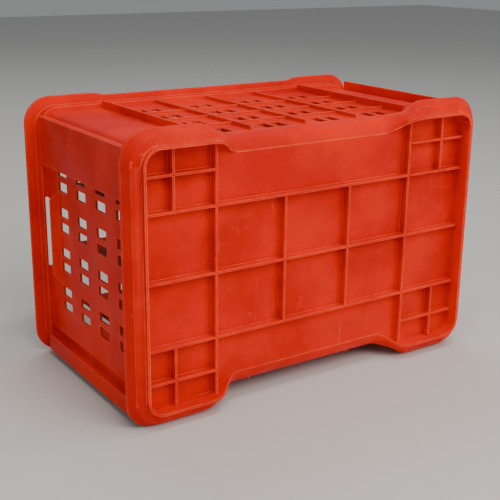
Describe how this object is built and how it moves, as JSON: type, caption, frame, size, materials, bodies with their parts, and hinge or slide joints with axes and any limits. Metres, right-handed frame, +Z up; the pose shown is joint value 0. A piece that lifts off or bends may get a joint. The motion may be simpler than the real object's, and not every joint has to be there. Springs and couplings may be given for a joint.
{
  "type": "milk bottle crate",
  "caption": "Moulded plastic milk bottle crate lying on its long side, with a ribbed closed base, grille walls, hand-holds, a stacking rim and a lift-out bottle partition.",
  "frame": {"origin": "on the ground under the middle of the crate as it lies on one long wall", "axes": "+X along the crate's length, +Y from the closed base to the open mouth, +Z up across the crate's width"},
  "size_m": [0.48, 0.2671, 0.32],
  "materials": {
    "crate_plastic": "semi-gloss moulded red polyethylene, lightly scuffed",
    "partition_plastic": "satin moulded red polyethylene sheet"
  },
  "bodies": {
    "crate": {"base_cross_ribs_left_inner": "crate_plastic", "base_cross_ribs_left_outer": "crate_plastic", "base_cross_ribs_right_inner": "crate_plastic", "base_cross_ribs_right_outer": "crate_plastic", "base_flange_left": "crate_plastic", "base_flange_lower_left": "crate_plastic", "base_flange_lower_right": "crate_plastic", "base_flange_right": "crate_plastic", "base_flange_upper_left": "crate_plastic", "base_flange_upper_right": "crate_plastic", "base_panel": "crate_plastic", "base_rib_lower": "crate_plastic", "base_rib_middle": "crate_plastic", "base_rib_upper": "crate_plastic", "corner_brace_lower_left": "crate_plastic", "corner_brace_lower_right": "crate_plastic", "corner_brace_upper_left": "crate_plastic", "corner_brace_upper_right": "crate_plastic", "corner_post_lower_left": "crate_plastic", "corner_post_lower_right": "crate_plastic", "corner_post_upper_left": "crate_plastic", "corner_post_upper_right": "crate_plastic", "end_band_left": "crate_plastic", "end_band_right": "crate_plastic", "end_grille_left": "crate_plastic", "end_grille_right": "crate_plastic", "end_sill_left": "crate_plastic", "end_sill_right": "crate_plastic", "grip_lip_left": "crate_plastic", "grip_lip_right": "crate_plastic", "hand_hold_plate_left": "crate_plastic", "hand_hold_plate_right": "crate_plastic", "long_wall_lower": "crate_plastic", "long_wall_ribs_lower": "crate_plastic", "long_wall_ribs_upper": "crate_plastic", "long_wall_upper": "crate_plastic", "mouth_corner_lower_left": "crate_plastic", "mouth_corner_lower_right": "crate_plastic", "mouth_corner_upper_left": "crate_plastic", "mouth_corner_upper_right": "crate_plastic", "mouth_rail_left": "crate_plastic", "mouth_rail_lower": "crate_plastic", "mouth_rail_right": "crate_plastic", "mouth_rail_upper": "crate_plastic", "notch_shoulder_lower_left": "crate_plastic", "notch_shoulder_lower_right": "crate_plastic", "notch_shoulder_upper_left": "crate_plastic", "notch_shoulder_upper_right": "crate_plastic", "rolled_edge_lower": "crate_plastic", "rolled_edge_upper": "crate_plastic", "stacking_foot_left": "crate_plastic", "stacking_foot_right": "crate_plastic"},
    "partition": {"cross_divider_1": "partition_plastic", "cross_divider_2": "partition_plastic", "cross_divider_3": "partition_plastic", "cross_divider_4": "partition_plastic", "cross_divider_5": "partition_plastic", "long_divider_1": "partition_plastic", "long_divider_2": "partition_plastic", "long_divider_3": "partition_plastic"}
  },
  "joints": [
    {"name": "partition_lift", "type": "slide", "parent": "crate", "child": "partition", "axis": [0, 1, 0], "range_m": [0, 0.23]}
  ]
}
